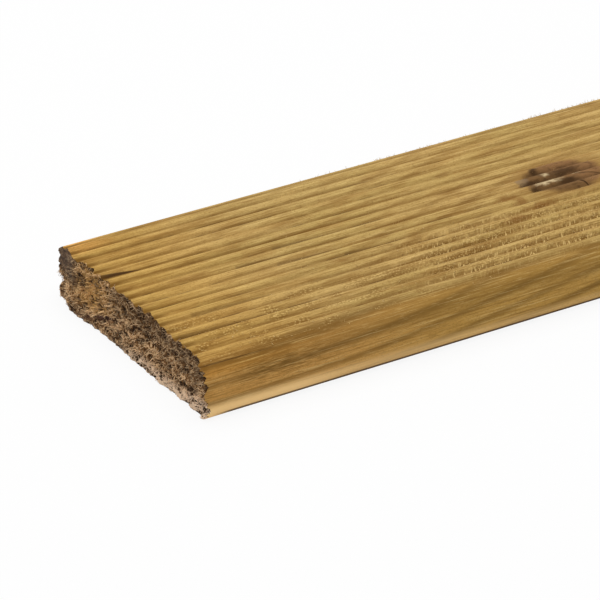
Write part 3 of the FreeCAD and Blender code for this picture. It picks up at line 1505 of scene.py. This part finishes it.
    def round_edges(self, recipe: Recipe, across: Wire, up: Wire) -> tuple[Wire, Wire]:
        """Bends the square corners of the section into quarter rounds.

        Args:
            recipe: The board's recipe.
            across: Place across the board.
            up: Height above the underside.

        Returns:
            The place across and the height, rounded.
        """
        width = recipe.input("Width", self.section.width)
        top_arris = recipe.input("Top Arris", self.section.top_arris)
        bottom_arris = recipe.input("Bottom Arris", self.section.bottom_arris)
        side = across.one("SIGN")
        out = abs(across)
        above = up - self.section.arris_top + top_arris
        below = bottom_arris - up
        for radius, rise, sign in ((top_arris, above, 1.0), (bottom_arris, below, -1.0)):
            past = (out - width / 2 + radius).most(0.0)
            rise = rise.most(0.0)
            reach = (past.squared() + rise.squared()).one("SQRT").most(1e-7)
            shrink = 1.0 - past.most(rise) / reach
            out = out - past * shrink
            up = up - rise * shrink * sign
        return out * side, up

    def groove_drop(self, recipe: Recipe, across: Wire) -> Wire:
        """Gives how far the reeded face lies below its crests.

        Args:
            recipe: The board's recipe.
            across: Place across the board.

        Returns:
            The drop.
        """
        pitch = recipe.input("Groove Pitch", self.section.pitch)
        depth = recipe.input("Groove Depth", self.section.depth)
        hollow = recipe.input("Groove Hollow", self.section.hollow)
        hollow_reach = recipe.input("Hollow Reach", self.section.hollow_reach)
        shoulder = recipe.input("Rib Shoulder", self.section.shoulder)
        half_groove = recipe.input("Half Groove", self.section.half_groove)
        grooves = recipe.input("Grooves", self.section.grooves, SocketKind.INTEGER)
        last = (grooves - 1.0) / 2.0
        place = across / pitch + last
        nearest = place.one("ROUND").most(0.0).least(last * 2.0)
        away = abs(place - nearest) * pitch
        in_hollow = depth - hollow + (hollow.squared() - away.squared()).most(0.0).one("SQRT")
        to_crest = (half_groove - away).most(0.0)
        on_shoulder = shoulder - (shoulder.squared() - to_crest.squared()).most(0.0).one("SQRT")
        chosen = recipe.tree.math("LESS_THAN", away, hollow_reach)
        return chosen * in_hollow + (1.0 - chosen) * on_shoulder

    def tear_end(self, recipe: Recipe, along: Wire, across: Wire, up: Wire) -> Wire:
        """Tears the near end back by a depth that fades out along the board.

        Args:
            recipe: The board's recipe.
            along: Place along the board.
            across: Place across the board.
            up: Height above the underside.

        Returns:
            The place along the board, torn.
        """
        place = self.section.place(along, across, up)
        depth = self.tear.depth(place, recipe.seed)
        return along + depth * place.along.step(self.tear_fade, 0.0, end=MM)


@dataclass(frozen=True)
class SliverCrop:
    """One crop of slivers: how many to a square centimetre, their sizes in millimetres, and how they lie.

    Lengths and thicknesses lie between two bounds. The lean is a direction, and the spread how far a sliver
    may stray from it.
    """

    count: float
    length: tuple[float, float]
    thickness: tuple[float, float]
    lean: tuple[float, float, float]
    spread: float


@dataclass
class Slivers:
    """Bent, tapered slivers of wood that stand on chosen parts of the board."""

    name: str
    section: Section
    board: bpy.types.Object
    finish: LooseFibre
    seed: int
    # A sliver is 1 long: it starts in the wood, and bends over and down towards a thin tip.
    bends: tuple[float, ...] = (0.15, 0.5, 0.9)
    root: float = -0.1
    handles: tuple[float, float] = (0.45, 0.8)
    handle_bend: float = 0.4
    droop: float = 0.35
    taper: float = 0.75
    rings: int = 4
    sides: int = 3
    proud: float = 0.8 * MM
    clear: float = 0.1 * MM
    clump: Blotches = Blotches(3.0, 5.0, 2.0)

    def shapes(self, recipe: Recipe) -> Wire:
        """Makes the few sliver shapes that all the slivers share, each 1 long and 1 in radius.

        Args:
            recipe: The piece's recipe.

        Returns:
            The shapes as instances.
        """
        tree = recipe.tree
        low, high = self.handles
        profile = tree.call("GeometryNodeCurvePrimitiveCircle", {"Resolution": self.sides, "Radius": 1.0})
        join = tree.node("GeometryNodeJoinGeometry")
        for bend in self.bends:
            values = {"Resolution": self.rings, "Start": (0.0, 0.0, self.root),
                      "Start Handle": (0.0, 0.0, low), "End Handle": (bend * self.handle_bend, 0.0, high),
                      "End": (bend, 0.0, 1.0 - bend * self.droop)}
            line = tree.call("GeometryNodeCurvePrimitiveBezierSegment", values)
            narrowed = 1.0 - tree.call("GeometryNodeSplineParameter", []) * self.taper
            values = {"Curve": line, "Profile Curve": profile, "Scale": narrowed, "Fill Caps": True}
            sliver = tree.call("GeometryNodeCurveToMesh", values)
            tree.feed(join.inputs[0], tree.call("GeometryNodeGeometryToInstance", [sliver]))
        return Wire(tree, join.outputs[0])

    def plant(self, recipe: Recipe, body: Wire, shapes: Wire, crop: SliverCrop, density: Wire) -> Wire:
        """Plants one crop of slivers.

        Args:
            recipe: The piece's recipe.
            body: The board.
            shapes: The slivers' shapes.
            crop: How they grow.
            density: Share of the full crop, from 0 to 1, over the board.

        Returns:
            The slivers as instances, each with its shade.
        """
        tree = recipe.tree
        values = {"Mesh": body, "Density": density * (crop.count / CM**2), "Seed": recipe.draw_seed()}
        points = tree.call("GeometryNodeDistributePointsOnFaces", values)
        x, y, z = (recipe.random(-crop.spread, crop.spread) + lean for lean in crop.lean)
        turn = tree.call("FunctionNodeAlignRotationToVector", {"Vector": tree.join(x, y, z)}, axis="Z")
        twist = recipe.random(0.0, math.tau)
        twist = tree.call("FunctionNodeAxisAngleToRotation", [(0.0, 0.0, 1.0), twist])
        turn = tree.call("FunctionNodeRotateRotation", [turn, twist], rotation_space="LOCAL")
        thickness = recipe.random(*crop.thickness) * MM
        shape = recipe.random(0.0, len(self.bends) - 0.01).one("FLOOR")
        length = recipe.random(*crop.length) * self.trim(self.place(recipe)) * MM
        values = {"Points": points, "Instance": shapes, "Pick Instance": True, "Instance Index": shape,
                  "Rotation": turn, "Scale": tree.join(thickness, thickness, length)}
        planted = tree.call("GeometryNodeInstanceOnPoints", values)
        shade = self.shade(recipe, self.place(recipe))
        return recipe.store(planted, self.finish.attribute, shade, "INSTANCE")

    def place(self, recipe: Recipe) -> Place:
        """Gives where a point lies, in the board's own millimetres."""
        return self.section.place(*recipe.position())

    def trim(self, place: Place) -> Wire | float:
        """Gives the share of its length that a sliver keeps where it stands."""
        return 1.0

    def shade(self, recipe: Recipe, place: Place) -> Wire:
        """Shades each sliver by where it stands and by chance, from 0 for dark to 1 for pale."""
        return self.clump.through(place).step(0.38, 0.62, end=0.6) + recipe.random(0.0, 0.4)

    def build(self) -> bpy.types.Object:
        """Makes the piece.

        Returns:
            The slivers as one object.
        """
        recipe = Recipe(self.name, self.seed)
        tree = recipe.tree
        carrier = recipe.input("Board", self.board, SocketKind.OBJECT)
        slot = recipe.input("Finish", self.finish.build(), SocketKind.MATERIAL)
        body = tree.call("GeometryNodeObjectInfo", [carrier], output="Geometry")
        shapes = self.shapes(recipe)
        join = tree.node("GeometryNodeJoinGeometry")
        for crop, density in self.crops(recipe, self.place(recipe)):
            tree.feed(join.inputs[0], self.plant(recipe, body, shapes, crop, density))
        geometry = tree.call("GeometryNodeRealizeInstances", [Wire(tree, join.outputs[0])])
        values = {"Geometry": geometry, "Position": self.keep_in(recipe)}
        geometry = tree.call("GeometryNodeSetPosition", values)
        geometry = tree.call("GeometryNodeSetShadeSmooth", {"Geometry": geometry, "Shade Smooth": True})
        geometry = tree.call("GeometryNodeSetMaterial", {"Geometry": geometry, "Material": slot})
        return recipe.run(geometry)

    def keep_in(self, recipe: Recipe) -> Wire:
        """Keeps the slivers between the board's sides, off the floor and close to its end and its top.

        Args:
            recipe: The piece's recipe.

        Returns:
            The place of each point.
        """
        x, y, z = recipe.position()
        half = self.section.width / 2
        top = self.section.thickness + self.proud
        x = x.most(self.section.near_end - self.proud)
        return recipe.tree.join(x, y.most(-half).least(half), z.most(self.clear).least(top))

    def crops(self, recipe: Recipe, place: Place) -> list[tuple[SliverCrop, Wire]]:
        """Says which crops grow where.

        Args:
            recipe: The piece's recipe.
            place: Where the surface is.

        Returns:
            Each crop with its density over the board.
        """
        raise NotImplementedError


@dataclass
class TornFibres(Slivers):
    """The curly fibre ends that stand out of the torn end."""

    stubs: SliverCrop = SliverCrop(90.0, (0.9, 2.6), (0.14, 0.34), (-0.45, 0.0, 0.12), 1.0)
    bundles: SliverCrop = SliverCrop(24.0, (1.8, 3.6), (0.3, 0.7), (-1.0, 0.0, 0.25), 0.35)
    splinters: SliverCrop = SliverCrop(2.0, (2.2, 3.4), (0.15, 0.3), (-0.3, 0.0, 0.0), 1.0)
    smooth: Region = Region(across=(Ease(52.0, 60.0),), up=(Ease(13.0, 17.0, end=0.85),))
    inner: Region = Region(across=(Ease(60.0, 54.0),))
    slope: Region = Region(across=(Bell(38.0, 18.0), Ease(60.0, 54.0)),
                           up=(Ease(25.0, 21.0), Ease(4.0, 8.0)))
    slope_thinning: float = 0.5
    tufts: Blotches = Blotches(5.0, 3.0, cut=1.0)
    streak: Blotches = Blotches(6.5, 1.7, cut=5.0)
    short_foot: Ease = Ease(0.0, 7.0, 0.4, 1.0)
    end: TornEnd = TornEnd()

    def crops(self, recipe: Recipe, place: Place) -> list[tuple[SliverCrop, Wire]]:
        """Covers the torn end with stubs, with bundles on its slope and with a few splinters.

        Args:
            recipe: The piece's recipe.
            place: Where the surface is.

        Returns:
            Each crop with its density over the board.
        """
        torn = recipe.tree.math("GREATER_THAN", recipe.attribute(TORN_END), 0.5)
        tufts = self.tufts.on_end(place).step(0.3, 0.6, 0.3, 1.0)
        cover = torn * (1.0 - self.smooth.mask(place)) * (1.0 - self.end.split(place)) * tufts
        slope = self.slope.mask(place)
        return [(self.stubs, cover * (1.0 - slope * self.slope_thinning)), (self.bundles, cover * slope),
                (self.splinters, cover * self.inner.mask(place))]

    def trim(self, place: Place) -> Wire | float:
        """Shortens the fibres towards the underside."""
        return self.short_foot.of(place.up)

    def shade(self, recipe: Recipe, place: Place) -> Wire:
        """Pales the fibres on the lumps as painted light, in streaks and low on the end.

        Args:
            recipe: The piece's recipe.
            place: Where the sliver stands.

        Returns:
            From 0 for dark to 1 for pale.
        """
        lumps = self.end.lumps(place).step(0.37, 0.63, end=0.4)
        streak = self.streak.on_end(place).step(0.38, 0.62, end=0.36)
        return lumps + streak + place.up.step(22.0, 3.0, end=0.12) + recipe.random(-0.08, 0.4)


@dataclass
class RaisedGrain(Slivers):
    """The short slivers that the cutter lifted from the ribs, fine hairs, and fuzz along the back edge."""

    ticks: SliverCrop = SliverCrop(14.0, (0.7, 1.6), (0.09, 0.18), (0.0, -0.8, 0.4), 0.6)
    fuzz: SliverCrop = SliverCrop(30.0, (0.6, 1.5), (0.06, 0.12), (-0.1, 0.3, 0.8), 0.7)
    hairs: SliverCrop = SliverCrop(7.0, (0.8, 2.0), (0.05, 0.09), (0.0, -0.3, 1.0), 0.5)
    torn: Region = Region((Ease(95.0, 140.0), Ease(360.0, 280.0)), (Ease(-68.0, -60.0), Ease(-5.0, -22.0)))
    near: Region = Region((Ease(2.0, 8.0, end=0.5), Ease(100.0, 60.0)),
                          (Ease(-70.0, -64.0), Ease(-22.0, -34.0)))
    back: Region = Region((Ease(120.0, 190.0), Ease(420.0, 320.0)), (Ease(66.5, 68.0),),
                          (Ease(23.5, 25.0),))
    hairy: Region = Region((Ease(60.0, 130.0), Ease(420.0, 320.0)))
    tufts: Blotches = Blotches(14.0, 6.0, cut=5.0)

    def crops(self, recipe: Recipe, place: Place) -> list[tuple[SliverCrop, Wire]]:
        """Lifts slivers where the grain is torn, fuzz on the back arris and hairs on the ribs.

        Args:
            recipe: The piece's recipe, which is not used here.
            place: Where the surface is.

        Returns:
            Each crop with its density over the board.
        """
        ribs = ON_RIBS.mask(place)
        tufts = self.tufts.on_face(place)
        ticks = ribs * tufts.step(0.42, 0.62) * (self.torn.mask(place) + self.near.mask(place))
        fuzz = self.back.mask(place) * tufts.step(0.4, 0.6)
        hairs = ribs * tufts.step(0.45, 0.65) * self.hairy.mask(place)
        return [(self.ticks, ticks), (self.fuzz, fuzz), (self.hairs, hairs)]


@dataclass
class Studio:
    """Pale floor, white surround, soft light from above, and the camera, placed from the torn end on."""

    near_end: float
    floor_size: float = 40.0
    floor_colour: Colour = (0.82, 0.82, 0.82)
    floor_white: float = 0.9
    surround: float = 0.46
    white: Colour = (1.0, 1.0, 1.0)
    lamp_power: float = 24.0
    lamp_size: float = 1.6
    lamp_place: tuple[float, float, float] = (0.15, 0.2, 1.6)
    lamp_target: tuple[float, float, float] = (0.15, 0.0, 0.0)
    camera_place: tuple[float, float, float] = (-634.9 * MM, -1245.4 * MM, 775.5 * MM)
    camera_look: tuple[float, float, float] = (0.44573, 0.76071, -0.47185)
    camera_right: tuple[float, float, float] = (0.85922, -0.51145, -0.01291)
    camera_range: tuple[float, float] = (0.05, 100.0)
    focal_pixels: float = 3482.0
    image_pixels: float = 600.0

    def build(self) -> None:
        """Makes the floor, the surround, the lamp and the camera."""
        self.lay_floor()
        self.surround_with_white()
        self.hang_lamp()
        self.stand_camera()

    def from_end(self, place: tuple[float, float, float]) -> Vector:
        """Turns a place from the torn end on into one in the frame."""
        return Vector(place) + Vector((self.near_end, 0, 0))

    @staticmethod
    def seen(tree: Tree) -> Wire:
        """Tells rays that see the background from rays that light the object.

        Args:
            tree: The material's or the world's tree.

        Returns:
            1 for camera, glossy and transmission rays, and 0 for the rest.
        """
        path = tree.node("ShaderNodeLightPath")
        total = Wire(tree, path.outputs["Is Camera Ray"]) + Wire(tree, path.outputs["Is Glossy Ray"])
        return (total + Wire(tree, path.outputs["Is Transmission Ray"])).least(1.0)

    def lay_floor(self) -> None:
        """Makes the floor, which looks white and keeps the board's shadow."""
        half = self.floor_size / 2
        corners = [(-half, -half, 0), (half, -half, 0), (half, half, 0), (-half, half, 0)]
        mesh = bpy.data.meshes.new("floor")
        mesh.from_pydata(corners, [], [(0, 1, 2, 3)])
        floor = bpy.data.objects.new("floor", mesh)
        bpy.context.scene.collection.objects.link(floor)
        material, tree = new_material("floor_paper")
        paper = tree.call("ShaderNodeBsdfDiffuse", {"Color": (*self.floor_colour, 1.0)})
        white = tree.call("ShaderNodeEmission", {"Color": (*self.white, 1.0), "Strength": 1.0})
        share = self.seen(tree) * self.floor_white
        tree.surface(tree.call("ShaderNodeMixShader", [share, paper, white]))
        mesh.materials.append(material)

    def surround_with_white(self) -> None:
        """Makes the surround, which looks white and lights the board more softly than that."""
        world = bpy.data.worlds.new("surround")
        bpy.context.scene.world = world
        world.use_nodes = True
        tree = Tree(world.node_tree)
        seen = self.seen(tree)
        strength = seen + (1.0 - seen) * self.surround
        glow = tree.call("ShaderNodeBackground", {"Color": (*self.white, 1.0), "Strength": strength})
        tree.surface(glow, "ShaderNodeOutputWorld")

    def hang_lamp(self) -> None:
        """Hangs one large soft lamp above the board."""
        lamp = bpy.data.lights.new("soft_lamp", "AREA")
        lamp.energy = self.lamp_power
        lamp.size = self.lamp_size
        holder = bpy.data.objects.new("soft_lamp", lamp)
        bpy.context.scene.collection.objects.link(holder)
        holder.location = self.from_end(self.lamp_place)
        aim = self.from_end(self.lamp_target) - holder.location
        holder.rotation_mode = "QUATERNION"
        holder.rotation_quaternion = aim.to_track_quat("-Z", "Y")
        holder.visible_camera = False

    def stand_camera(self) -> None:
        """Stands the camera at the photograph's viewing angle."""
        data = bpy.data.cameras.new("camera")
        data.lens = self.focal_pixels / self.image_pixels * data.sensor_width
        data.clip_start, data.clip_end = self.camera_range
        camera = bpy.data.objects.new("camera", data)
        bpy.context.scene.collection.objects.link(camera)
        camera.location = self.from_end(self.camera_place)
        camera.rotation_mode = "QUATERNION"
        look, right = Vector(self.camera_look).normalized(), Vector(self.camera_right).normalized()
        camera.rotation_quaternion = Matrix((right, right.cross(look), -look)).transposed().to_quaternion()
        bpy.context.scene.camera = camera


def main() -> None:
    """Builds the board, its slivers and its studio, and reports each piece."""
    logging.basicConfig(level=logging.INFO, format="%(message)s")
    bpy.context.scene.view_settings.view_transform = "Standard"
    section = Section.of_node(NODE)
    board = Board(section).build(FaceWood(section).build(), TornEndGrain(section).build(),
                                 SawnEndGrain(section).build())
    torn = TornFibre("torn_fibre", srgb(62, 42, 28), srgb(245, 207, 160))
    raised = LooseFibre("raised_fibre", srgb(172, 132, 70), srgb(232, 202, 142))
    pieces = [board, TornFibres("torn_fibres", section, board, torn, seed=11).build(),
              RaisedGrain("raised_grain", section, board, raised, seed=23).build()]
    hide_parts(NODE)
    for piece in pieces:
        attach(piece, BODY)
        triangles = sum(len(face.vertices) - 2 for face in piece.data.polygons)
        LOG.info("%s: %d triangles", piece.name, triangles)
    Studio(section.near_end).build()


if __name__ == "__main__":
    main()
